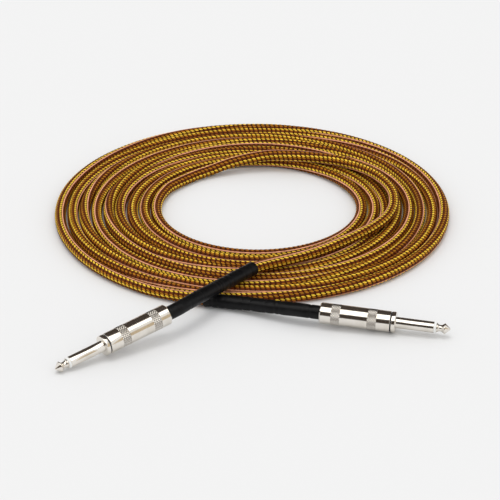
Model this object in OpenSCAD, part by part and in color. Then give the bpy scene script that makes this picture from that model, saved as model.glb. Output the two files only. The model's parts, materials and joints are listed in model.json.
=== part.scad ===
// Instrument cable: a woven-jacket lead with a straight 1/4 inch plug on each end, in a flat coil.
// Millimetres, +Z up. The floor is z = 0 and the origin is midway between the two plugs.

/* [Cable] */
// Outer diameter of the woven jacket
cable_d = 6.4; // [6:0.1:6.6]
// Distance from one turn of the coil to the next
turn_pitch = 7.15; // [6.9:0.05:7.4]
// Radius of the cable's centreline where the coil begins
coil_start_r = 119.3; // [118:0.1:120]
// Distance of the coil's centre behind the origin
coil_y = 140; // [139:1:142]

/* [Plug] */
// Diameter of the plug's finger
finger_d = 6.35; // [6.3:0.01:6.35]
// Length of the finger, from the flange to the point
finger_len = 30.5; // [30:0.1:31]
// Outer diameter of the barrel and the flange
barrel_d = 11.8; // [11.6:0.1:12]
// Length of the barrel
barrel_len = 39.8; // [39.5:0.1:40.5]
// Thickness of the flange between barrel and finger
flange_len = 2.3; // [2:0.1:3]
// Length of thread that holds the barrel
thread_len = 6; // [5:1:7]
// Pitch of that thread
thread_pitch = 1; // [0.8:0.1:1]

/* [Boot] */
// Outer diameter of the shrink sleeve
boot_d = 8; // [7.8:0.1:8]

/* [Hidden] */
PLUGS = ["a", "b"];
PIECES = ["tip", "tip_ring", "rod_tube", "sleeve", "washer", "back_insulator", "tip_lug", "ground_lug",
    "solder", "conductor", "core", "shield_tail", "boot", "barrel", "liner"];
$fn = 64;

// Where each plug lies: the centre of its barrel's rear rim, its heading and how far its nose points down.
PLUG_AT = [[-49.1, -10.5, 13.52], [36.15, 2.45, 7.42]];
PLUG_HEADING = [215, -11.5];
PLUG_DIP = [8.6, 2];

// Stations along a plug's axis, from the barrel's rear rim towards the point.
washer_len = 0.6;
seat_gap = 0.1;
flange_z = barrel_len + seat_gap + washer_len;
shoulder_z = flange_z + flange_len;
point_z = shoulder_z + finger_len;
tip_len = 7.8;
tip_z = point_z - tip_len;
ring_len = 1.4;
ring_z = tip_z - ring_len;
collar_z = 31.5;
hub_len = 1.5;
lug_t = 0.5;
insulator_len = 2;
insulator_z = collar_z - lug_t - insulator_len;
tip_lug_z = insulator_z - lug_t;
head_len = 0.7;
jacket_end_z = 17;
core_end_z = 23.5;
conductor_end_z = 26.8;
boot_front_z = 10.5;
clamp_z = 11.5;
clamp_len = 3;

// The point's outline: a collar, a neck, and the ball that the jack's spring catches behind.
tip_collar_r = 2.6;
tip_collar_len = 0.6;
neck_r = 1.8;
neck_z = tip_z + 2.6;
ball_r = 3.05;
ball_z = tip_z + 4.6;
ball_edge_r = 0.5;
nose_r = 0.75;

// Radii inside the plug.
rod_r = 1;
head_r = 1.5;
rod_tube_r = 1.65;
sleeve_bore_r = 1.7;
slip = 0.05;
hub_r = 1.85;
insulator_r = 3;
tip_lug_r = 2.4;
thread_r = 4.56;
thread_clear = 0.08;
thread_deep = 0.3;
groove_len = 0.4;
lug_ring_r = 4.3;
clamp_t = 0.65;
core_r = 1.5;
conductor_r = 0.45;
shield_r = 0.6;
shield_x = -2.6;
strip_x = -3.8;
strip_w = 3;
tab_x = 1.7;
tab_w = 2;
tab_z = 23.8;
tip_bead_z = 24.4;
tip_bead_len = 2;
tip_bead_r = 1.9;
shield_bead_z = 19.6;
shield_bead_len = 1.6;
shield_bead_r = 1;
shield_tail_len = 4.5;
liner_t = 0.35;
cavity_r = 4.95;
cavity_z = 6;
cavity_end_z = 31;
boot_clear = 0.3;
knurl_h = 0.05;
knurl_len = 5.1;
knurl_at = [9.1, 29.6];

cable_r = cable_d / 2;
boot_r = boot_d / 2;
barrel_r = barrel_d / 2;
finger_r = finger_d / 2;
boot_bore_r = cable_r + 0.08;

// The coil. The cable enters it at this angle and runs clockwise, seen from above, always inwards.
coil_start_a = -108;
// The flat turns fill a ring that lies a little to the right of and behind the spiral's own centre.
coil_in_r = 58;
coil_out_r = 117;
coil_shift = [0.5, 1.8];
function coil_point(turns) =
    let (a = coil_start_a - 360 * turns, r = coil_start_r - turn_pitch * turns)
    [r * cos(a), coil_y + r * sin(a), cable_r];

// The loose stretch from the coil to boot A: it climbs over the inner turns and crosses them to the front.
ROUTE_A = [[-38.5, 186, 3.2], [-28, 193, 4], [-16.5, 198, 6.2], [-4, 201.5, 8], [9, 203, 9.4],
    [22.5, 202, 9.7], [37.5, 199.5, 9.7], [53, 194, 9.7], [67.5, 183, 9.7], [78, 167.5, 9.7],
    [83.5, 149, 9.7], [83, 130, 9.7], [78, 115, 9.7], [69, 102, 9.8], [58.5, 91.2, 9.9],
    [48, 81.6, 10], [38, 73, 10.1], [28, 65.8, 10.3], [18, 60, 10.5], [8.5, 54.9, 10.7]];
// Boot A lies from the end of that stretch, over boot B, to its plug.
BOOT_A = [[-1, 48.8, 10.9], [-6, 43, 11.1], [-11, 36.8, 11.4], [-15.6, 30.7, 11.9], [-20.4, 24.1, 12.6],
    [-25.2, 17, 13.5], [-29.9, 9.9, 14.4], [-34.8, 3.3, 15], [-39.6, -2.6, 15]];
// Boot B lies from the start of the coil to its plug.
BOOT_B = [[-29.1, 24.2, 4], [-22.6, 22.6, 4.1], [-16, 20.9, 4.3], [-9.4, 19, 4.6], [-2.9, 16.7, 5.1],
    [3.6, 13.9, 5.7], [10.1, 10.9, 6.4], [16.6, 8.2, 7], [22.8, 5.9, 7.5]];
ALONG_BOOT = [BOOT_A, BOOT_B];
// Where the cable and boot are ringed inside the barrel and just behind it, along the plug's axis.
NEAR_PLUG = [-7, 4];
// Where tail B is ringed on the outermost turn, in turns from the coil's start.
ON_COIL = [for (n = [10 : -1 : 0]) 0.01 + 0.025 * n];

// The direction in which a plug points, and a point on its axis.
function heading(i) =
    [cos(PLUG_DIP[i]) * cos(PLUG_HEADING[i]), cos(PLUG_DIP[i]) * sin(PLUG_HEADING[i]), -sin(PLUG_DIP[i])];
function on_axis(i, z) = PLUG_AT[i] + z * heading(i);

function unit(v) = v / norm(v);
function way(p, i) = unit(p[min(i + 1, len(p) - 1)] - p[max(i - 1, 0)]);
function ring(p, i, r, sides) =
    let (t = way(p, i), side = unit(cross(t, [0, 0, 1])), up = cross(side, t))
    [for (k = [0 : sides - 1]) p[i] + r * (cos(360 * k / sides) * side + sin(360 * k / sides) * up)];
function wall(first, rings, sides) = [for (i = [0 : rings - 2]) for (k = [0 : sides - 1])
    let (a = first + i * sides + k, b = first + i * sides + (k + 1) % sides) [a, b, b + sides, a + sides]];
function flip(faces) = [for (f = faces) [f[3], f[2], f[1], f[0]]];

module solid_tube(p, r, sides = 12) {
    n = len(p);
    polyhedron([for (i = [0 : n - 1]) each ring(p, i, r, sides)], concat(
        flip(wall(0, n, sides)),
        [[for (k = [0 : sides - 1]) k]],
        [[for (k = [sides - 1 : -1 : 0]) (n - 1) * sides + k]]));
}

module hollow_tube(p, outer_r, inner_r, sides = 24) {
    n = len(p);
    inside = n * sides;
    end_out = (n - 1) * sides;
    polyhedron([for (r = [outer_r, inner_r]) for (i = [0 : n - 1]) each ring(p, i, r, sides)], concat(
        flip(wall(0, n, sides)),
        wall(inside, n, sides),
        [for (k = [0 : sides - 1]) let (j = (k + 1) % sides) [k, j, inside + j, inside + k]],
        [for (k = [0 : sides - 1]) let (j = (k + 1) % sides)
            [end_out + j, end_out + k, inside + end_out + k, inside + end_out + j]]));
}

module place(i) {
    translate(PLUG_AT[i]) rotate([0, 90 + PLUG_DIP[i], PLUG_HEADING[i]]) children();
}

module pipe(from_z, to_z, outer_r, inner_r) {
    translate([0, 0, from_z]) rotate_extrude()
        translate([inner_r, 0]) square([outer_r - inner_r, to_z - from_z]);
}

// ---- Plug pieces, along +Z from the barrel's rear rim to the point ----

// Nickelled contact: the point, and the rod that runs back through the plug to the solder lug.
module tip() {
    rod_end_z = tip_lug_z - head_len;
    color("gainsboro") rotate_extrude() polygon(concat(
        [[0, rod_end_z], [head_r, rod_end_z], [head_r, tip_lug_z], [rod_r, tip_lug_z], [rod_r, tip_z],
            [tip_collar_r, tip_z]],
        [for (a = [0 : 15 : 90]) [tip_collar_r - (tip_collar_r - neck_r) * sin(a),
            neck_z - (neck_z - tip_z - tip_collar_len) * cos(a)]],
        [for (a = [-60 : 20 : 60])
            [ball_r - ball_edge_r + ball_edge_r * cos(a), ball_z + ball_edge_r * sin(a)]],
        [for (a = [40 : 10 : 90]) [nose_r * cos(a), point_z - nose_r + nose_r * sin(a)]]));
}

// White ring that parts the tip from the sleeve, slightly crowned.
module tip_ring() {
    crown = 0.06;
    edge_r = finger_r - crown - slip;
    color("white") rotate_extrude() polygon([[rod_r + slip, ring_z], [edge_r, ring_z],
        [edge_r + crown, (ring_z + tip_z) / 2], [edge_r, tip_z], [rod_r + slip, tip_z]]);
}

// Insulating tube round the rod, inside the sleeve.
module rod_tube() {
    color("ivory") pipe(collar_z + hub_len, ring_z, rod_tube_r, rod_r + slip);
}

// Finger, flange and threaded collar, turned from one bar.
module sleeve() {
    edge = 0.5;
    color("silver") difference() {
        union() {
            translate([0, 0, shoulder_z]) cylinder(h = ring_z - shoulder_z, r = finger_r);
            rotate_extrude() translate([0, flange_z]) polygon(concat(
                [[0, 0], [barrel_r - 0.1, 0]],
                [for (a = [0 : 15 : 90])
                    [barrel_r - edge + edge * cos(a), flange_len - edge + edge * sin(a)]],
                [[0, flange_len]]));
            translate([0, 0, collar_z]) cylinder(h = flange_z - collar_z, r = thread_r);
        }
        for (n = [0 : thread_len - 1])
            let (z = collar_z + (n + 1) * thread_pitch)
                pipe(z, z + groove_len, thread_r + 1, thread_r - thread_deep);
        translate([0, 0, collar_z - 1]) cylinder(h = point_z, r = sleeve_bore_r);
        translate([0, 0, collar_z - 1]) cylinder(h = 1 + hub_len, r = hub_r + slip);
    }
}

// Dark fibre washer between the flange and the barrel.
module washer() {
    color("dimgray") pipe(flange_z - washer_len, flange_z, barrel_r - 0.3, thread_r + slip);
}

// Stepped insulator that keeps the rod and the tip lug off the collar.
module back_insulator() {
    color("sienna") difference() {
        union() {
            translate([0, 0, insulator_z]) cylinder(h = insulator_len, r = insulator_r);
            translate([0, 0, collar_z - lug_t]) cylinder(h = lug_t + hub_len, r = hub_r);
        }
        translate([0, 0, insulator_z - 1]) cylinder(h = insulator_len + hub_len + 3, r = rod_r + slip);
    }
}

// Solder lug that is riveted on the rod.
module tip_lug() {
    color("khaki") difference() {
        union() {
            translate([0, 0, tip_lug_z]) cylinder(h = lug_t, r = tip_lug_r);
            translate([tab_x, -tab_w / 2, tab_z]) cube([lug_t, tab_w, tip_lug_z + lug_t - tab_z]);
        }
        translate([0, 0, tip_lug_z - 1]) cylinder(h = 3, r = rod_r + slip);
    }
}

// Ground lug: a ring against the collar, a strip, and a band clamped round the jacket.
module ground_lug() {
    color("silver") {
        difference() {
            translate([0, 0, collar_z - lug_t]) cylinder(h = lug_t, r = lug_ring_r);
            translate([0, 0, collar_z - 1]) cylinder(h = 2, r = hub_r + slip);
        }
        translate([strip_x, -strip_w / 2, clamp_z]) cube([lug_t, strip_w, collar_z - clamp_z]);
        difference() {
            pipe(clamp_z, clamp_z + clamp_len, cable_r + clamp_t, cable_r + slip);
            translate([0, -1, clamp_z - 1]) cube([cable_d, 2, clamp_len + 2]);
        }
    }
}

// One bead of solder round a wire at x = wire_x, cut flat where it meets a lug whose face is at flat_x.
module bead(wire_x, wire_r, flat_x, from_z, len, r) {
    toward = sign(flat_x - wire_x);
    difference() {
        translate([wire_x, 0, from_z]) cylinder(h = len, r = r);
        translate([wire_x, 0, from_z - 1]) cylinder(h = len + 2, r = wire_r);
        translate([flat_x + toward * r, 0, from_z + len / 2]) cube([2 * r, 4 * r, 2 * len], center = true);
    }
}

// The two solder joints: conductor to tip lug, and braid to ground lug.
module solder() {
    color("lightgray") {
        bead(0, conductor_r, tab_x, tip_bead_z, tip_bead_len, tip_bead_r);
        bead(shield_x, shield_r, strip_x + lug_t, shield_bead_z, shield_bead_len, shield_bead_r);
    }
}

// Bared copper strand.
module conductor() {
    color("darkorange") translate([0, 0, core_end_z])
        cylinder(h = conductor_end_z - core_end_z, r = conductor_r);
}

// Insulated centre core, stripped out of the jacket.
module core() {
    color("white") translate([0, 0, jacket_end_z]) cylinder(h = core_end_z - jacket_end_z, r = core_r);
}

// Braided shield, twisted into a tail.
module shield_tail() {
    color("darkorange") translate([shield_x, 0, jacket_end_z]) cylinder(h = shield_tail_len, r = shield_r);
}

// Knurled handle, threaded inside at the front.
module barrel() {
    edge = 0.6;
    bore_r = thread_r + thread_clear;
    color("silver") difference() {
        union() {
            rotate_extrude() polygon([[0, 0], [barrel_r - edge, 0], [barrel_r, edge],
                [barrel_r, barrel_len - edge / 2], [barrel_r - edge / 2, barrel_len], [0, barrel_len]]);
            for (z = knurl_at) translate([0, 0, z - knurl_len / 2])
                cylinder(h = knurl_len, r = barrel_r + knurl_h);
        }
        translate([0, 0, -1]) cylinder(h = barrel_len + 2, r = boot_r + boot_clear);
        translate([0, 0, cavity_z]) cylinder(h = cavity_end_z - cavity_z, r = cavity_r);
        translate([0, 0, cavity_z]) cylinder(h = barrel_len, r = bore_r);
        for (n = [0 : thread_len - 1])
            let (z = barrel_len - (n + 1.2) * thread_pitch)
                pipe(z, z + groove_len, bore_r + thread_deep, thread_r - thread_deep);
    }
}

// Insulating tube that slides with the barrel and covers the solder joints.
module liner() {
    outer_r = cavity_r - 0.1;
    color("dimgray") pipe(cavity_z + 0.2, cavity_end_z - 0.8, outer_r, outer_r - liner_t);
}

// Black shrink sleeve, from inside the barrel to its own end.
module boot(i) {
    in_barrel = [for (z = NEAR_PLUG) on_axis(i, z)];
    color("black") hollow_tube(concat(ALONG_BOOT[i], in_barrel, [on_axis(i, boot_front_z)]),
        boot_r, boot_bore_r);
}

// ---- Cable ----

// All turns that lie flat, as one ring with rounded edges.
module cable_coil() {
    centre = [coil_shift[0], coil_y + coil_shift[1], 0];
    color("goldenrod") translate(centre) rotate_extrude($fn = 180) union() {
        for (r = [coil_in_r + cable_r, coil_out_r - cable_r]) translate([r, cable_r]) circle(r = cable_r);
        translate([coil_in_r + cable_r, 0]) square([coil_out_r - coil_in_r - cable_d, cable_d]);
    }
}

// The cable from the coil to the solder joints of plug i.
module cable_tail(i, on_coil) {
    in_plug = [for (z = concat(NEAR_PLUG, [jacket_end_z])) on_axis(i, z)];
    color("goldenrod") solid_tube(concat(on_coil, ALONG_BOOT[i], in_plug), cable_r);
}

module cable_tail_a() {
    cable_tail(0, ROUTE_A);
}

module cable_tail_b() {
    cable_tail(1, [for (turns = ON_COIL) coil_point(turns)]);
}

for (i = [0, 1]) {
    name = str("plug_", PLUGS[i], "_");
    place(i) tip();
    place(i) tip_ring();
    place(i) rod_tube();
    place(i) sleeve();
    place(i) washer();
    place(i) back_insulator();
    place(i) tip_lug();
    place(i) ground_lug();
    place(i) solder();
    place(i) conductor();
    place(i) core();
    place(i) shield_tail();
    place(i) barrel();
    place(i) liner();
    boot(i);
}
cable_coil();
cable_tail_a();
cable_tail_b();
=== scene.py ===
"""Looks of the instrument cable: woven jacket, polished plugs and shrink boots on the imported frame."""

import json
import math

import bpy
import numpy as np
from mathutils import Matrix, Vector

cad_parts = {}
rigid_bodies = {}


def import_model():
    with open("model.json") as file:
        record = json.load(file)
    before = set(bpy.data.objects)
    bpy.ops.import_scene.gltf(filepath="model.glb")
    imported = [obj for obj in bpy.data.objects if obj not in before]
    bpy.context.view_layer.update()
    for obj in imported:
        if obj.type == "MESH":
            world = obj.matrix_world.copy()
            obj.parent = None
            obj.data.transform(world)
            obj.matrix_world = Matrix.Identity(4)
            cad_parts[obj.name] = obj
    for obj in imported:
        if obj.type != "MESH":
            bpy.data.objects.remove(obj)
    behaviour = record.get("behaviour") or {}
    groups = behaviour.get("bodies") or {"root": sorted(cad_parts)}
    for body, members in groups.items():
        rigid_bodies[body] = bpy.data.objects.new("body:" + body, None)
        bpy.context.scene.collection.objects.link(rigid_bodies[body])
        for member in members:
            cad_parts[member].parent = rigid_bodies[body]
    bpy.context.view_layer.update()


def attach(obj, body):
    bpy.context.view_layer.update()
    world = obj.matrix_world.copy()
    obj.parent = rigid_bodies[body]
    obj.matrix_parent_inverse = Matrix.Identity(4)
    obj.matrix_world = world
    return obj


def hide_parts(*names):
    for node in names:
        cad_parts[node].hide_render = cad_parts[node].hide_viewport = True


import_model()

MM = 0.001
TAU = 2 * math.pi
PLUGS = ["a", "b"]


# ---- Camera ----

AIM = Vector((-3.1, 92.4, 0)) * MM
CAMERA_DISTANCE = 1500 * MM
CAMERA_ELEVATION = math.radians(27.5)
LENS = 182.7


def make_camera():
    back = Vector((0, -math.cos(CAMERA_ELEVATION), math.sin(CAMERA_ELEVATION)))
    data = bpy.data.cameras.new("camera")
    data.lens = LENS
    data.sensor_width = 36
    data.clip_start = 0.01
    data.clip_end = 20
    camera = bpy.data.objects.new("camera", data)
    camera.location = AIM + CAMERA_DISTANCE * back
    camera.rotation_euler = (-back).to_track_quat("-Z", "Y").to_euler()
    bpy.context.collection.objects.link(camera)
    bpy.context.scene.camera = camera
    bpy.context.scene.view_settings.view_transform = "Standard"


make_camera()


# ---- Where the plugs lie: the centre of each barrel's rear rim, its heading and its dip ----

PLUG_AT = [Vector((-49.1, -10.5, 13.52)), Vector((36.15, 2.45, 7.42))]
PLUG_HEADING = [215, -11.5]
PLUG_DIP = [8.6, 2]


def plug_matrix(i):
    """From a plug's own millimetres, +Z to the point, to the row frame's metres."""
    turn = Matrix.Rotation(math.radians(PLUG_HEADING[i]), 4, "Z")
    tilt = Matrix.Rotation(math.radians(90 + PLUG_DIP[i]), 4, "Y")
    return Matrix.Scale(MM, 4) @ Matrix.Translation(PLUG_AT[i]) @ turn @ tilt


def on_axis(i, z):
    return tuple(plug_matrix(i) @ Vector((0, 0, z)) / MM)


# ---- The cable's route, in millimetres ----

CABLE_D = 6.4
CABLE_R = CABLE_D / 2
TURN_PITCH = 7.15
COIL_START_R = 119.3
COIL_Y = 140
COIL_START_A = -108
COIL_TURNS = 8.28
# The innermost turn's centre, from the outermost's.
COIL_DRIFT = (0.6, 2.4)
POINTS_PER_TURN = 36
# How a coil wound by hand strays: size in millimetres, waves per turn, and where the first wave starts.
WANDER = [(0.16, 1.37, 0.1), (0.08, 3.21, 0.6)]
# The turns at each end over which it starts and stops straying.
SETTLE_TURNS = 0.3
JACKET_END_Z = 17
BOOT_FRONT_Z = 10.5
NEAR_PLUG = [-7, 4]

ROUTE_A = [
    (-38.5, 186, 3.2), (-28, 193, 4), (-16.5, 198, 6.2), (-4, 201.5, 8), (9, 203, 9.4),
    (22.5, 202, 9.7), (37.5, 199.5, 9.7), (53, 194, 9.7), (67.5, 183, 9.7), (78, 167.5, 9.7),
    (83.5, 149, 9.7), (83, 130, 9.7), (78, 115, 9.7), (69, 102, 9.8), (58.5, 91.2, 9.9),
    (48, 81.6, 10), (38, 73, 10.1), (28, 65.8, 10.3), (18, 60, 10.5), (8.5, 54.9, 10.7),
]
BOOT_A = [
    (-1, 48.8, 10.9), (-6, 43, 11.1), (-11, 36.8, 11.4), (-15.6, 30.7, 11.9), (-20.4, 24.1, 12.6),
    (-25.2, 17, 13.5), (-29.9, 9.9, 14.4), (-34.8, 3.3, 15), (-39.6, -2.6, 15),
]
BOOT_B = [
    (-29.1, 24.2, 4), (-22.6, 22.6, 4.1), (-16, 20.9, 4.3), (-9.4, 19, 4.6), (-2.9, 16.7, 5.1),
    (3.6, 13.9, 5.7), (10.1, 10.9, 6.4), (16.6, 8.2, 7), (22.8, 5.9, 7.5),
]
ALONG_BOOT = [BOOT_A, BOOT_B]


def coil_point(turns):
    """A point of the flat spiral, with the small irregularities of a coil wound by hand."""
    angle = math.radians(COIL_START_A - 360 * turns)
    settle = min(1, turns / SETTLE_TURNS) * min(1, max(0, (COIL_TURNS - turns) / SETTLE_TURNS))
    wander = sum(size * math.sin(TAU * (rate * turns + start)) for size, rate, start in WANDER)
    radius = COIL_START_R - TURN_PITCH * turns + settle * wander
    drift = turns / COIL_TURNS
    x, y = COIL_DRIFT[0] * drift, COIL_Y + COIL_DRIFT[1] * drift
    return (x + radius * math.cos(angle), y + radius * math.sin(angle), CABLE_R)


def smooth_line(points, step):
    """The points, in metres, of one smooth curve through these, evenly spaced by step millimetres."""
    p = np.array(points, float)
    p = np.vstack([2 * p[0] - p[1], p, 2 * p[-1] - p[-2]])
    gap = np.linalg.norm(np.diff(p, axis=0), axis=1)
    fine = []
    for i in range(1, len(p) - 2):
        a, b = gap[i] / gap[i - 1], gap[i] / gap[i + 1]
        m1 = (p[i + 1] - p[i - 1]) * gap[i] / (gap[i] + gap[i - 1])
        m2 = (p[i + 2] - p[i]) * gap[i] / (gap[i] + gap[i + 1])
        t = np.linspace(0, 1, max(4, int(gap[i] / 0.5)), endpoint=False)[:, None]
        fine.append(
            (2 * t**3 - 3 * t**2 + 1) * p[i] + (t**3 - 2 * t**2 + t) * m1
            + (3 * t**2 - 2 * t**3) * p[i + 1] + (t**3 - t**2) * m2
        )
    fine = np.vstack(fine + [p[-2:-1]])
    along = np.concatenate([[0], np.cumsum(np.linalg.norm(np.diff(fine, axis=0), axis=1))])
    count = int(round(along[-1] / step)) + 1
    at = np.linspace(0, along[-1], count)
    return np.stack([np.interp(at, along, fine[:, k]) for k in range(3)], axis=1) * MM


def in_plug(i, last):
    return [on_axis(i, z) for z in NEAR_PLUG + [last]]


def cable_points():
    """From plug B, round the coil from outside to inside, and over the turns to plug A."""
    turns = [n / POINTS_PER_TURN for n in range(1, int(COIL_TURNS * POINTS_PER_TURN) + 1)]
    return (
        in_plug(1, JACKET_END_Z)[::-1] + BOOT_B[::-1] + [coil_point(t) for t in turns]
        + ROUTE_A + BOOT_A + in_plug(0, JACKET_END_Z)
    )


# ---- Mesh building ----


def new_object(name, verts, faces, material, body, smooth=True):
    mesh = bpy.data.meshes.new(name)
    mesh.from_pydata(verts, [], faces)
    mesh.materials.append(material)
    mesh.polygons.foreach_set("use_smooth", [smooth] * len(mesh.polygons))
    mesh.update()
    piece = bpy.data.objects.new(name, mesh)
    bpy.context.collection.objects.link(piece)
    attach(piece, body)
    return piece


def grid_faces(rings, sides, closed=False):
    """Quads between rings of points. With closed, the last ring joins the first."""
    i = np.arange(rings if closed else rings - 1)[:, None]
    k = np.arange(sides)[None, :]
    a = i * sides + k
    b = i * sides + (k + 1) % sides
    up = ((i + 1) % rings - i) * sides
    return np.stack([a, a + up, b + up, b], axis=-1).reshape(-1, 4)


def along_line(centres):
    """Each point's direction, and the level and upright directions across it."""
    way = np.gradient(centres, axis=0)
    way /= np.linalg.norm(way, axis=1)[:, None]
    side = np.cross(way, [0, 0, 1])
    side /= np.linalg.norm(side, axis=1)[:, None]
    return way, side, np.cross(side, way)


def rings_on(centres, angles, radii):
    """Points round a line: angles and radii are arrays of (rings, sides), in radians and metres."""
    way, side, up = along_line(centres)
    across = np.cos(angles)[..., None] * side[:, None, :] + np.sin(angles)[..., None] * up[:, None, :]
    return (centres[:, None, :] + radii[..., None] * across).reshape(-1, 3)


# ---- Materials ----


class Nodes:
    """A material's node tree, with short calls for the nodes that its pattern needs."""

    def __init__(self, name):
        self.material = bpy.data.materials.new(name)
        self.material.use_nodes = True
        self.tree = self.material.node_tree
        self.shader = self.tree.nodes["Principled BSDF"]

    def put(self, kind, **settings):
        node = self.tree.nodes.new(kind)
        for key, value in settings.items():
            setattr(node, key, value)
        return node

    def feed(self, value, socket):
        if isinstance(value, bpy.types.NodeSocket):
            self.tree.links.new(value, socket)
        else:
            socket.default_value = value

    def math(self, operation, a, b=0.0, c=0.0, clamp=False):
        node = self.put("ShaderNodeMath", operation=operation, use_clamp=clamp)
        for value, socket in zip((a, b, c), node.inputs):
            self.feed(value, socket)
        return node.outputs[0]

    def smoothstep(self, value, low, high):
        node = self.put("ShaderNodeMapRange", interpolation_type="SMOOTHSTEP")
        for given, socket in zip((value, low, high, 0.0, 1.0), node.inputs):
            self.feed(given, socket)
        return node.outputs[0]

    def mix(self, factor, a, b, blend="MIX"):
        node = self.put("ShaderNodeMix", data_type="RGBA", blend_type=blend)
        self.feed(factor, node.inputs[0])
        for value, socket in zip((a, b), node.inputs[6:8]):
            self.feed(value if isinstance(value, bpy.types.NodeSocket) else (*value, 1), socket)
        return node.outputs[2]

    def noise(self, scale, detail=3.0, vector=None, stretch=None):
        """Noise on the object's own coordinates in metres, or on vector."""
        if vector is None:
            vector = self.put("ShaderNodeTexCoord").outputs["Object"]
        if stretch is not None:
            scaled = self.put("ShaderNodeMapping")
            self.feed(vector, scaled.inputs["Vector"])
            scaled.inputs["Scale"].default_value = stretch
            vector = scaled.outputs[0]
        node = self.put("ShaderNodeTexNoise")
        self.feed(vector, node.inputs["Vector"])
        node.inputs["Scale"].default_value = scale
        node.inputs["Detail"].default_value = detail
        return node.outputs[0]

    def bump(self, height, distance, strength=1.0, normal=None):
        node = self.put("ShaderNodeBump")
        node.inputs["Strength"].default_value = strength
        node.inputs["Distance"].default_value = distance
        self.feed(height, node.inputs["Height"])
        if normal is not None:
            self.feed(normal, node.inputs["Normal"])
        return node.outputs[0]

    def set(self, **values):
        for key, value in values.items():
            socket = self.shader.inputs[key.replace("_", " ")]
            if isinstance(value, tuple):
                value = (*value, 1)
            self.feed(value, socket)
        return self.material


def between(nodes, value, low, high):
    """value, which runs from 0 to 1, stretched to run from low to high."""
    return nodes.math("MULTIPLY_ADD", value, high - low, low)


def polished_nickel():
    """Bright nickel plate, darker in the knurls' grooves: painted shade there, with some grime."""
    n = Nodes("polished_nickel")
    scuffs = n.noise(900, 4, stretch=(1, 1, 0.15))
    smear = n.noise(160, 3)
    tint = n.mix(n.smoothstep(smear, 0.35, 0.7), (0.83, 0.79, 0.73), (0.76, 0.715, 0.645))
    # The groove attribute darkens the grooves' base colour below: painted shade in the recesses, with some
    # grime.
    grime_and_shade = n.put("ShaderNodeAttribute", attribute_name="groove").outputs["Fac"]
    return n.set(
        Base_Color=n.mix(n.math("POWER", grime_and_shade, 2.4), tint, (0.09, 0.075, 0.065)),
        Metallic=1.0,
        Roughness=n.math("MULTIPLY_ADD", grime_and_shade, 0.2, between(n, scuffs, 0.07, 0.17)),
        Normal=n.bump(scuffs, 0.00002, 0.25),
    )


def moulded_plastic(name, light, dark, roughness):
    n = Nodes(name)
    grain = n.noise(1500, 3)
    return n.set(
        Base_Color=n.mix(grain, dark, light),
        Roughness=between(n, grain, roughness - 0.08, roughness + 0.08),
        Normal=n.bump(grain, 0.00002, 0.4),
    )


def bare_metal(name, light, dark, roughness):
    n = Nodes(name)
    grain = n.noise(700, 4)
    return n.set(
        Base_Color=n.mix(grain, dark, light),
        Metallic=1.0,
        Roughness=between(n, grain, roughness - 0.08, roughness + 0.12),
        Normal=n.bump(grain, 0.00004, 0.5),
    )


def shrink_rubber():
    n = Nodes("shrink_rubber")
    grain = n.noise(2600, 4)
    patches = n.noise(240, 3)
    colour = n.mix(n.smoothstep(patches, 0.3, 0.75), (0.0035, 0.0035, 0.004), (0.0065, 0.0065, 0.007))
    return n.set(
        Base_Color=colour,
        Roughness=between(n, patches, 0.30, 0.46),
        Specular_IOR_Level=0.16,
        Normal=n.bump(grain, 0.00003, 0.5, n.bump(patches, 0.0003, 0.35)),
    )


# Yarn colours, and which yarn each of the weave's columns shows, counted round the jacket.
YELLOW = (1.0, 0.64, 0.055)
GOLD = (0.48, 0.185, 0.010)
BROWN = (0.17, 0.033, 0.004)
PINK = (0.92, 0.42, 0.23)
# The colour between the beads: dark yarn deep in the weave, darkened further by painted shade in the
# valleys.
GAP_YARN_AND_SHADE = (0.045, 0.0095, 0.0008)
COLUMNS = [
    PINK, YELLOW, BROWN, GOLD, YELLOW, BROWN, GOLD, BROWN,
    PINK, YELLOW, BROWN, GOLD, BROWN, YELLOW, GOLD, BROWN,
]
# From one bead to the next along a column, in millimetres.
WEAVE_PITCH = 2.9
# How far the ribs lean along the cable, in beads: from column to column, and within a column.
RIB_LEAN = 2 / len(COLUMNS)
BEAD_LEAN = 0.34
# How much smaller than its cell a bead is, across and along, and what a salmon line adds to that.
BEAD_SHRINK = [1.85, 2.75]
LINE_SHRINK = [0.9, -1.0]
# A higher power gives squarer beads.
BEAD_POWER = 4


def column_ramp(nodes, place, colours):
    """A ramp that gives each column its own flat colour."""
    ramp = nodes.put("ShaderNodeValToRGB")
    ramp.color_ramp.interpolation = "CONSTANT"
    stops = ramp.color_ramp.elements
    for i, colour in enumerate(colours):
        stop = stops[i] if i < 2 else stops.new(i / len(colours))
        stop.position = i / len(colours)
        stop.color = (*colour, 1)
    nodes.feed(place, ramp.inputs[0])
    return ramp.outputs[0]


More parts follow.
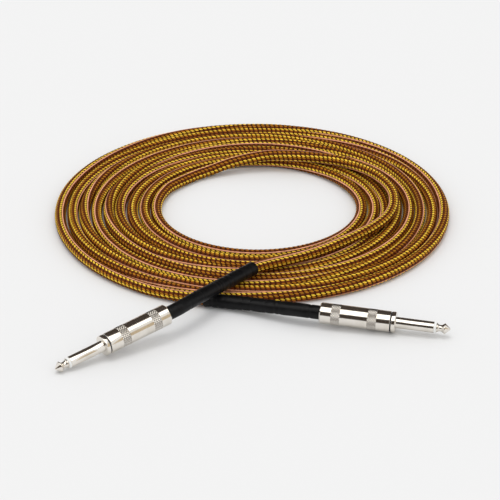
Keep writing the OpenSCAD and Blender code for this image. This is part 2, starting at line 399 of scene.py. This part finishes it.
def woven_jacket():
    n = Nodes("woven_jacket")
    place = n.put("ShaderNodeSeparateXYZ")
    n.feed(n.put("ShaderNodeUVMap", uv_map="weave").outputs[0], place.inputs[0])
    u, v = place.outputs[0], place.outputs[1]
    # Which column and bead a point lies in, and where in that cell, from -0.5 to 0.5 each way.
    shifted = n.math("ADD", v, 0.5)
    column = n.math("FLOOR", shifted)
    x = n.math("SUBTRACT", n.math("SUBTRACT", shifted, column), 0.5)
    rib = n.math("ADD", n.math("MULTIPLY_ADD", v, RIB_LEAN, u), n.math("MULTIPLY", x, BEAD_LEAN))
    bead = n.math("FLOOR", rib)
    y = n.math("SUBTRACT", n.math("SUBTRACT", rib, bead), 0.5)
    whole = len(COLUMNS)
    index = n.math("DIVIDE", n.math("ADD", n.math("FLOORED_MODULO", column, whole), 0.5), whole)
    yarn = column_ramp(n, index, COLUMNS)
    is_line = column_ramp(n, index, [(1, 1, 1) if c == PINK else (0, 0, 0) for c in COLUMNS])
    # How far a point lies from its bead's middle, across and along. A line's beads run together.
    across, along = (
        n.math("POWER", n.math("MULTIPLY", at, n.math("MULTIPLY_ADD", is_line, line, shrink)), BEAD_POWER)
        for at, line, shrink in zip((x, y), LINE_SHRINK, BEAD_SHRINK)
    )
    crown = n.math("SUBTRACT", 1.0, n.math("ADD", across, along), clamp=True)
    shown = n.smoothstep(crown, 0.05, 0.6)
    speck = n.put("ShaderNodeTexWhiteNoise", noise_dimensions="2D")
    pair = n.put("ShaderNodeCombineXYZ")
    n.feed(bead, pair.inputs[0])
    n.feed(column, pair.inputs[1])
    n.feed(pair.outputs[0], speck.inputs["Vector"])
    weave = n.put("ShaderNodeUVMap", uv_map="weave").outputs[0]
    fibres = n.noise(6.0, 2, vector=weave, stretch=(1.2, 5, 1))
    level = n.math("MULTIPLY", between(n, speck.outputs[0], 0.78, 1.08), between(n, fibres, 0.72, 1.25))
    shade = n.put("ShaderNodeCombineColor")
    for socket in shade.inputs[:3]:
        n.feed(level, socket)
    lit_yarn = n.mix(1.0, yarn, shade.outputs[0], "MULTIPLY")
    # Outside each bead's crown the colour falls to the dark gap colour: painted shade between the beads,
    # over dark yarn.
    colour = n.mix(shown, GAP_YARN_AND_SHADE, lit_yarn)
    height = n.math("MULTIPLY_ADD", fibres, 0.18, n.math("POWER", crown, 0.5))
    return n.set(
        Base_Color=colour,
        Roughness=between(n, fibres, 0.45, 0.62),
        Specular_IOR_Level=0.08,
        Normal=n.bump(height, 0.00035, 0.8),
    )


# ---- The cable ----

SIDES_PER_COLUMN = 2
RINGS_PER_BEAD = 4
JACKET_MEAN_R = 3.33
JACKET_IN_BOOT_R = 3.05
VALLEY_DEPTH = 0.16
# How far a column's yarn stands out, and how much that swells at each bead.
STAND = {YELLOW: (0.06, 0.13), GOLD: (0.0, 0.11), BROWN: (-0.03, 0.09), PINK: (0.10, 0.03)}
# How far each boot reaches back along the cable from its barrel's rear rim.
BOOT_COVER = [63.5, 66.5]
# The weave turns slowly round the cable.
WEAVE_TURN_LENGTH = 980
SWAY_LENGTH = 410
SWAY = 0.9


def in_boots(along, whole):
    """1 where the boots squeeze the jacket, 0 outside them."""
    covered = [JACKET_END_Z + BOOT_COVER[i] for i in (1, 0)]
    inside = np.minimum(along - covered[0], whole - along - covered[1])
    return 1 - np.clip(inside + 1, 0, 1)


def jacket():
    """One tube along the whole route, its rings and sides in step with the weave's beads."""
    centres = smooth_line(cable_points(), WEAVE_PITCH / RINGS_PER_BEAD)
    rings = len(centres)
    sides = SIDES_PER_COLUMN * len(COLUMNS)
    ring = np.arange(rings)[:, None]
    side = np.arange(sides)[None, :]
    along = ring * WEAVE_PITCH / RINGS_PER_BEAD
    turn = TAU * along / WEAVE_TURN_LENGTH + SWAY * np.sin(TAU * along / SWAY_LENGTH)
    angles = TAU * side / sides + turn
    u = ring / RINGS_PER_BEAD
    v = side / SIDES_PER_COLUMN
    stand = np.array([STAND[c] for c in COLUMNS])
    column = np.round(v).astype(int) % len(COLUMNS)
    swell = -np.cos(TAU * (u + RIB_LEAN * v))
    crest = stand[column, 0] + stand[column, 1] * swell
    relief = np.where(side % SIDES_PER_COLUMN == 0, crest, -VALLEY_DEPTH)
    squeeze = in_boots(along, along[-1])
    radii = (JACKET_MEAN_R + (JACKET_IN_BOOT_R - JACKET_MEAN_R) * squeeze + relief) * MM
    verts = rings_on(centres, angles, radii)
    faces = grid_faces(rings, sides)
    caps = [list(range(sides)), list(range(rings * sides - 1, (rings - 1) * sides - 1, -1))]
    piece = new_object(
        "braided_cable", verts.tolist(), faces.tolist() + caps, woven_jacket(), "root"
    )
    # The weave's own coordinates, which count beads along and columns round, with no seam.
    uv = np.zeros((len(faces), 4, 2))
    for corner, (di, dk) in enumerate([(0, 0), (1, 0), (1, 1), (0, 1)]):
        uv[:, corner, 0] = np.repeat((np.arange(rings - 1) + di) / RINGS_PER_BEAD, sides)
        uv[:, corner, 1] = np.tile((np.arange(sides) + dk) / SIDES_PER_COLUMN, rings - 1)
    layer = piece.data.uv_layers.new(name="weave")
    flat = np.zeros(len(piece.data.loops) * 2)
    flat[: uv.size] = uv.ravel()
    layer.data.foreach_set("uv", flat)
    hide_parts("cable_coil", "cable_tail_a", "cable_tail_b")


jacket()


# ---- Shrink boots ----

BOOT_R = 4.0
BOOT_BORE_R = 3.27
BOOT_STEP = 0.4
BOOT_SIDES = 64
# How much thinner than its full radius the shrunk boot is, and its free end's rounding.
BOOT_SHRINK = 0.04
BOOT_LIP = 0.45
LIP_DROP = 0.4
# How deep each boot's shrink rings go. The random numbers choose between these bounds.
RING_DEPTH = [0.18, 0.42]
RING_COUNT = 20
RING_GAP = (2.6, 6.5)
RING_WIDTH = (0.45, 1.1)
RING_SWING = (-1, 0.2)
BOOT_SEED = 5
# The boot isn't quite round: how much, and how fast that turns along it.
UNEVEN = 0.025
UNEVEN_SIDES = 3
UNEVEN_TURN = 0.35
UNEVEN_START = 6


def boot(i, material):
    """A sleeve with faint rings where it shrank, and a rounded lip at its free end."""
    line = smooth_line(ALONG_BOOT[i] + in_plug(i, BOOT_FRONT_Z), BOOT_STEP)
    rng = np.random.default_rng(BOOT_SEED + i)
    rings = len(line)
    along = np.arange(rings) * BOOT_STEP
    ripple = np.zeros(rings)
    for centre in np.cumsum(rng.uniform(*RING_GAP, RING_COUNT)):
        width = rng.uniform(*RING_WIDTH)
        ripple += rng.uniform(*RING_SWING) * RING_DEPTH[i] * np.exp(-(((along - centre) / width) ** 2))
    lip = np.clip(along / BOOT_LIP, 0, 1)
    outer = BOOT_R - BOOT_SHRINK + ripple - LIP_DROP * (1 - np.sqrt(1 - (1 - lip) ** 2))
    angle = np.arange(BOOT_SIDES) * TAU / BOOT_SIDES
    wave = np.sin(UNEVEN_SIDES * angle[None, :] + UNEVEN_TURN * along[:, None])
    shape = outer[:, None] + UNEVEN * wave * np.minimum(1, along / UNEVEN_START)[:, None]
    bore = np.full((rings, BOOT_SIDES), BOOT_BORE_R)
    angles = np.tile(angle, (rings, 1))
    verts = np.vstack([
        rings_on(line, angles, shape * MM),
        rings_on(line[::-1], np.pi - angles, bore * MM),
    ])
    faces = grid_faces(2 * rings, BOOT_SIDES, closed=True)
    name = f"shrink_boot_{PLUGS[i]}"
    piece = new_object(name, verts.tolist(), faces.tolist(), material, "root")
    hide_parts(f"plug_{PLUGS[i]}_boot")


# ---- Plug pieces, turned round the plug's axis, in its own millimetres ----

BARREL_R = 5.9
BARREL_LEN = 39.8
WASHER_Z = 39.9
FLANGE_Z = 40.5
SHOULDER_Z = 42.8
RING_Z = 64.1
TIP_Z = 65.5
POINT_Z = 73.3
FINGER_R = 3.175
COLLAR_Z = 31.5
THREAD_R = 4.56
THREAD_DEPTH = 0.3
THREAD_PITCH = 1.0
THREAD_LEN = 6
KNURL_AT = [9.1, 29.6]
KNURL_LEN = 5.1
KNURL_CELLS = 26
KNURL_DEPTH = 0.30
KNURL_STAND = 0.05
# How much of each diamond's point is flat: 1 is none.
KNURL_FLAT = 1.2
KNURL_SUB = 8
ROUND_SIDES = 96
SHARP_DEGREES = 35
# Two lengths or radii nearer than this are the same one.
NEAR = 0.01


def arc(centre_r, centre_z, radius, start, end, steps=6):
    """Points of a profile's rounded corner; angles in degrees from the outward direction."""
    angles = np.radians(np.linspace(start, end, steps + 1))
    return [(centre_r + radius * math.cos(a), centre_z + radius * math.sin(a)) for a in angles]


def turned(name, i, profile, material, body, replaced, segments=ROUND_SIDES, carve=None, grime_and_shade=None):
    """A profile of (radius, z) turned round plug i's axis and closed.

    carve(radius, z, angle) gives the radius where it isn't round, and grime_and_shade(radius, z, angle) how
    much painted shade and dirt darken it.
    """
    radius = np.array([p[0] for p in profile])[:, None]
    z = np.array([p[1] for p in profile])[:, None]
    angle = np.arange(segments)[None, :] * TAU / segments
    r = radius + np.zeros_like(angle) if carve is None else carve(radius, z, angle)
    points = np.stack([r * np.cos(angle), r * np.sin(angle), z + np.zeros_like(angle)], axis=-1)
    matrix = plug_matrix(i)
    flat = points.reshape(-1, 3) @ np.array(matrix.to_3x3()).T + np.array(matrix.translation)
    hollow = radius[0, 0] > 0
    faces = grid_faces(len(profile), segments, closed=hollow).tolist()
    verts = flat.tolist()
    if not hollow:
        # A solid piece starts and ends on the axis, where its ring is one point.
        ends = [0, len(profile) - 1]
        faces = [f for f in faces if not (set(v // segments for v in f) & set(ends))]
        for end, beside, flip in ((0, 1, False), (ends[1], ends[1] - 1, True)):
            hub = end * segments
            for k in range(segments):
                a, b = beside * segments + k, beside * segments + (k + 1) % segments
                faces.append([hub, b, a] if flip else [hub, a, b])
        keep = np.ones(len(verts), bool)
        for end in ends:
            keep[end * segments + 1:(end + 1) * segments] = False
        number = np.cumsum(keep) - 1
        verts = [v for v, kept in zip(verts, keep) if kept]
        faces = [[int(number[v]) for v in f] for f in faces]
    piece = new_object(name, verts, faces, material, body)
    # The groove attribute drives painted shade, with some dirt, in the knurls' grooves.
    if grime_and_shade is not None:
        dirt_and_shade = grime_and_shade(radius, z, angle) + np.zeros_like(r)
        layer = piece.data.attributes.new("groove", "FLOAT", "POINT")
        layer.data.foreach_set("value", dirt_and_shade.ravel().astype(np.float32))
    sharp_edges(piece, SHARP_DEGREES)
    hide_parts(replaced)
    return piece


def sharp_edges(piece, degrees):
    """Marks the edges that turn more than this as sharp, so that flats stay flat."""
    mesh = piece.data
    normals = np.zeros(len(mesh.polygons) * 3)
    mesh.polygons.foreach_get("normal", normals)
    normals = normals.reshape(-1, 3)
    limit = math.cos(math.radians(degrees))
    beside = {}
    for polygon in mesh.polygons:
        for key in polygon.edge_keys:
            beside.setdefault(key, []).append(polygon.index)
    for edge in mesh.edges:
        pair = beside.get(edge.key, [])
        if len(pair) == 2 and normals[pair[0]] @ normals[pair[1]] < limit:
            edge.use_edge_sharp = True


def tooth(turns):
    """0 at a whole number of turns, 1 half way between."""
    part = turns - np.floor(turns)
    return 1 - np.abs(2 * part - 1)


def in_knurl(centre, radius, z):
    """True on the barrel's outside within the knurl at this height."""
    return (np.abs(z - centre) < KNURL_LEN / 2 - NEAR) & (radius > BARREL_R - NEAR)


def groove_depth(radius, z, angle):
    """0 on the plain barrel and the diamonds' points, 1 at the bottom of the knurls' crossed grooves."""
    out = np.zeros_like(radius + z + angle)
    cell = TAU * BARREL_R / KNURL_CELLS
    for centre in KNURL_AT:
        around = KNURL_CELLS * angle / TAU
        along = (z - centre) / cell
        peak = np.minimum(tooth(around + along), tooth(around - along))
        out = np.where(in_knurl(centre, radius, z), 1 - np.minimum(1, peak * KNURL_FLAT), out)
    return out


def knurled(radius, z, angle):
    """Diamonds in each band of the barrel."""
    stand = np.zeros_like(radius + z + angle)
    for centre in KNURL_AT:
        stand = np.where(in_knurl(centre, radius, z), KNURL_STAND, stand)
    return radius + stand - KNURL_DEPTH * groove_depth(radius, z, angle)


def barrel_profile():
    """From the rear hole's lip over the outside to the front, and back through the bore."""
    chamfer = 0.6
    edge = 0.3
    hole_r, hole_len, lip = 4.3, 6, 0.25
    room_r, room_end = 4.95, 31
    margin = 0.25
    steps = [(hole_r, 0.35)] + arc(hole_r + lip, lip, lip, 180, 270, 3)
    steps += [(BARREL_R - chamfer, 0), (BARREL_R, chamfer)]
    for centre in KNURL_AT:
        start, end = centre - KNURL_LEN / 2, centre + KNURL_LEN / 2
        inner = np.linspace(start + 2 * NEAR, end - 2 * NEAR, 5 * KNURL_SUB + 1)
        steps += [(BARREL_R, start - margin), (BARREL_R, start)] + [(BARREL_R, z) for z in inner]
        steps += [(BARREL_R, end), (BARREL_R, end + margin)]
    steps += arc(BARREL_R - edge, BARREL_LEN - edge, edge, 0, 90, 4)
    bore = THREAD_R + 0.08
    groove = bore + THREAD_DEPTH
    for n in range(THREAD_LEN):
        top = BARREL_LEN - 0.8 - n * THREAD_PITCH
        steps += [(bore, top + 0.1), (groove, top - 0.1), (groove, top - 0.3), (bore, top - 0.5)]
    return steps + [(bore, room_end), (room_r, room_end), (room_r, hole_len), (hole_r, hole_len)]


def threaded(radius, z, angle):
    """A right-hand thread on the collar."""
    start, end = COLLAR_Z + 0.3, COLLAR_Z + THREAD_LEN + 0.6
    on_thread = (z > start) & (z < end) & (radius > THREAD_R - NEAR)
    depth = THREAD_DEPTH * (1 - tooth(z / THREAD_PITCH - angle / TAU))
    return np.where(on_thread, radius - depth, radius + np.zeros_like(angle))


def sleeve_profile():
    """From the seat in the collar's rear over the thread, the flange and the finger to its end."""
    edge = 0.5
    bore_r, seat_r, seat_z = 1.7, 1.9, COLLAR_Z + 1.5
    collar = [(THREAD_R, z) for z in np.arange(COLLAR_Z + 0.2, FLANGE_Z, 0.125)]
    return (
        [(bore_r, seat_z), (seat_r, seat_z), (seat_r, COLLAR_Z), (THREAD_R - THREAD_DEPTH, COLLAR_Z)]
        + collar + [(THREAD_R, FLANGE_Z), (BARREL_R - 0.3, FLANGE_Z)]
        + arc(BARREL_R - 0.2, FLANGE_Z + 0.2, 0.2, -90, 0, 3)
        + arc(BARREL_R - edge, SHOULDER_Z - edge, edge, 0, 90, 6)
        + [(FINGER_R + 0.35, SHOULDER_Z), (FINGER_R + 0.1, SHOULDER_Z + 0.06), (FINGER_R, SHOULDER_Z + 0.25)]
        + [(FINGER_R, 50), (FINGER_R, 57)] + arc(FINGER_R - 0.12, RING_Z - 0.12, 0.12, 0, 90, 3)
        + [(bore_r, RING_Z)]
    )


def tip_profile():
    """From the riveted rear end along the rod to the tip's collar, neck, ball and point."""
    rod_r, rivet_r, rivet_start, rivet_end = 1, 1.5, 27.8, 28.5
    collar_r, collar_end, bevel = 2.6, TIP_Z + 0.6, 0.15
    neck_r, neck_z = 1.8, TIP_Z + 2.6
    ball_r, ball_z, ball_round = 3.05, TIP_Z + 4.6, 0.42
    point_round = 0.75
    hollow = [
        (collar_r - (collar_r - neck_r) * math.sin(a), neck_z - (neck_z - collar_end) * math.cos(a))
        for a in np.radians(np.linspace(12, 90, 9))
    ]
    return (
        [(0, rivet_start), (rivet_r, rivet_start), (rivet_r, rivet_end), (rod_r, rivet_end), (rod_r, TIP_Z)]
        + [(collar_r - bevel, TIP_Z), (collar_r, TIP_Z + bevel), (collar_r, collar_end)] + hollow
        + [(neck_r + 0.12, neck_z + 0.4), (neck_r + 0.42, neck_z + 0.85)]
        + arc(ball_r - ball_round, ball_z + 0.05, ball_round, -52, 46, 8)
        + arc(0, POINT_Z - point_round, point_round, 44, 84, 6) + [(0, POINT_Z)]
    )


def ring_profile():
    hole_r, outer = 1.05, FINGER_R - 0.06
    gap, bevel, corner = 0.02, 0.12, 0.15
    start, end = RING_Z + gap, TIP_Z - gap
    return (
        [(hole_r, start), (outer - bevel, start), (outer, start + bevel)]
        + arc(outer - corner, end - corner, corner, 0, 90, 3) + [(hole_r, end)]
    )


def washer_profile():
    hole_r, outer, bevel = 4.62, BARREL_R - 0.3, 0.08
    return [
        (hole_r, WASHER_Z), (outer - bevel, WASHER_Z), (outer, WASHER_Z + bevel),
        (outer, FLANGE_Z - bevel), (outer - bevel, FLANGE_Z), (hole_r, FLANGE_Z),
    ]


# The look of each piece inside a plug that keeps its CAD shape.
INSIDE = {
    "rod_tube": "insulator", "back_insulator": "insulator", "tip_lug": "tinned", "ground_lug": "tinned",
    "solder": "solder", "conductor": "copper", "core": "core", "shield_tail": "copper", "liner": "fibre",
}


def dress_plug(i, made):
    x = PLUGS[i]
    p = f"plug_{x}_"
    nickel, white, fibre = made["nickel"], made["white"], made["fibre"]
    turned(
        f"knurled_barrel_{x}", i, barrel_profile(), nickel, p + "barrel", p + "barrel",
        segments=KNURL_CELLS * KNURL_SUB, carve=knurled, grime_and_shade=groove_depth,
    )
    turned(f"sleeve_contact_{x}", i, sleeve_profile(), nickel, "root", p + "sleeve", carve=threaded)
    turned(f"tip_contact_{x}", i, tip_profile(), nickel, "root", p + "tip")
    turned(f"insulating_ring_{x}", i, ring_profile(), white, "root", p + "tip_ring")
    turned(f"fibre_washer_{x}", i, washer_profile(), fibre, "root", p + "washer")
    for node, look in INSIDE.items():
        for found in (o for o in bpy.data.objects if o.type == "MESH" and o.name == p + node):
            found.data.materials.clear()
            found.data.materials.append(made[look])


def dress_plugs():
    made = {
        "nickel": polished_nickel(),
        "white": moulded_plastic("white_insulator", (0.90, 0.90, 0.88), (0.80, 0.80, 0.78), 0.38),
        "fibre": moulded_plastic("dark_fibre", (0.035, 0.035, 0.038), (0.018, 0.018, 0.020), 0.6),
        "insulator": moulded_plastic("brown_insulator", (0.42, 0.24, 0.12), (0.30, 0.16, 0.08), 0.55),
        "core": moulded_plastic("core_insulation", (0.86, 0.85, 0.80), (0.76, 0.75, 0.70), 0.45),
        "tinned": bare_metal("tinned_brass", (0.72, 0.71, 0.66), (0.60, 0.58, 0.52), 0.32),
        "solder": bare_metal("solder", (0.66, 0.66, 0.68), (0.52, 0.52, 0.55), 0.34),
        "copper": bare_metal("bare_copper", (0.86, 0.45, 0.26), (0.66, 0.30, 0.16), 0.35),
    }
    rubber = shrink_rubber()
    for i in range(len(PLUGS)):
        dress_plug(i, made)
        boot(i, rubber)


dress_plugs()


# ---- Studio ----


def plain(name, colour, roughness=0.9, glow=0.0):
    material = bpy.data.materials.new(name)
    material.use_nodes = True
    shader = material.node_tree.nodes["Principled BSDF"]
    shader.inputs["Base Color"].default_value = (*colour, 1)
    shader.inputs["Roughness"].default_value = roughness
    shader.inputs["Specular IOR Level"].default_value = 0.0
    shader.inputs["Emission Color"].default_value = (*colour, 1)
    shader.inputs["Emission Strength"].default_value = glow
    return material


def stage_mesh(name, verts, faces, material):
    mesh = bpy.data.meshes.new(name)
    mesh.from_pydata(verts, [], faces)
    mesh.materials.append(material)
    piece = bpy.data.objects.new(name, mesh)
    bpy.context.collection.objects.link(piece)
    return piece


# Cards that only reflections see. Each has its angles, from the front over the top to the back, its left
# and right end, its distance, colour and glow.
CARDS = {
    "back_flag": (98, 176, -3, 3, 2.0, (0.035, 0.028, 0.024), 1.0),
    "front_flag": (0, 43, -1.6, 0.62, 2.0, (0.03, 0.024, 0.02), 1.0),
    "right_flag": (150, 178, 1.2, 3, 1.4, (0.05, 0.035, 0.024), 1.0),
    "left_flag": (4, 38, -3, -0.5, 0.9, (0.05, 0.035, 0.024), 1.0),
    "warm_card": (0, 66, 2.0, 7, 2.0, (0.32, 0.265, 0.19), 1.0),
    "overhead_box": (46, 96, -2.2, 1.1, 1.9, (1.0, 0.985, 0.95), 1.12),
}
FLOOR_HALF = 4.0
FLOOR_Z = -0.0002
SKY = 0.93
SUN = 0.62
SUN_SPREAD = 26
SUN_TOWARDS = Vector((0.12, -0.1, -1.3))


def reflected_card(name, from_angle, to_angle, from_x, to_x, radius, colour, glow):
    """A card curved round the X axis."""
    steps = 24
    verts, faces = [], []
    for n in range(steps + 1):
        a = math.radians(from_angle + (to_angle - from_angle) * n / steps)
        y, z = -radius * math.cos(a), radius * math.sin(a)
        verts += [(from_x, y, z), (to_x, y, z)]
    for n in range(steps):
        faces.append((2 * n, 2 * n + 1, 2 * n + 3, 2 * n + 2))
    card = stage_mesh(name, verts, faces, plain(name, colour, glow=glow))
    card.visible_camera = False
    card.visible_diffuse = False
    card.visible_shadow = False
    card.visible_transmission = False


def studio():
    sides = [(-1, -1), (1, -1), (1, 1), (-1, 1)]
    corners = [(x * FLOOR_HALF, y * FLOOR_HALF, FLOOR_Z) for x, y in sides]
    stage_mesh("floor", corners, [(0, 1, 2, 3)], plain("pale_floor", (0.80, 0.80, 0.80)))
    for name, card in CARDS.items():
        reflected_card(name, *card)
    world = bpy.data.worlds.new("world")
    world.use_nodes = True
    sky = world.node_tree.nodes["Background"]
    sky.inputs["Color"].default_value = (1, 1, 1, 1)
    sky.inputs["Strength"].default_value = SKY
    bpy.context.scene.world = world
    light = bpy.data.lights.new("top_light", "SUN")
    light.energy = SUN
    light.angle = math.radians(SUN_SPREAD)
    lamp = bpy.data.objects.new("top_light", light)
    lamp.rotation_euler = SUN_TOWARDS.to_track_quat("-Z", "Y").to_euler()
    lamp.visible_glossy = False
    bpy.context.collection.objects.link(lamp)


studio()
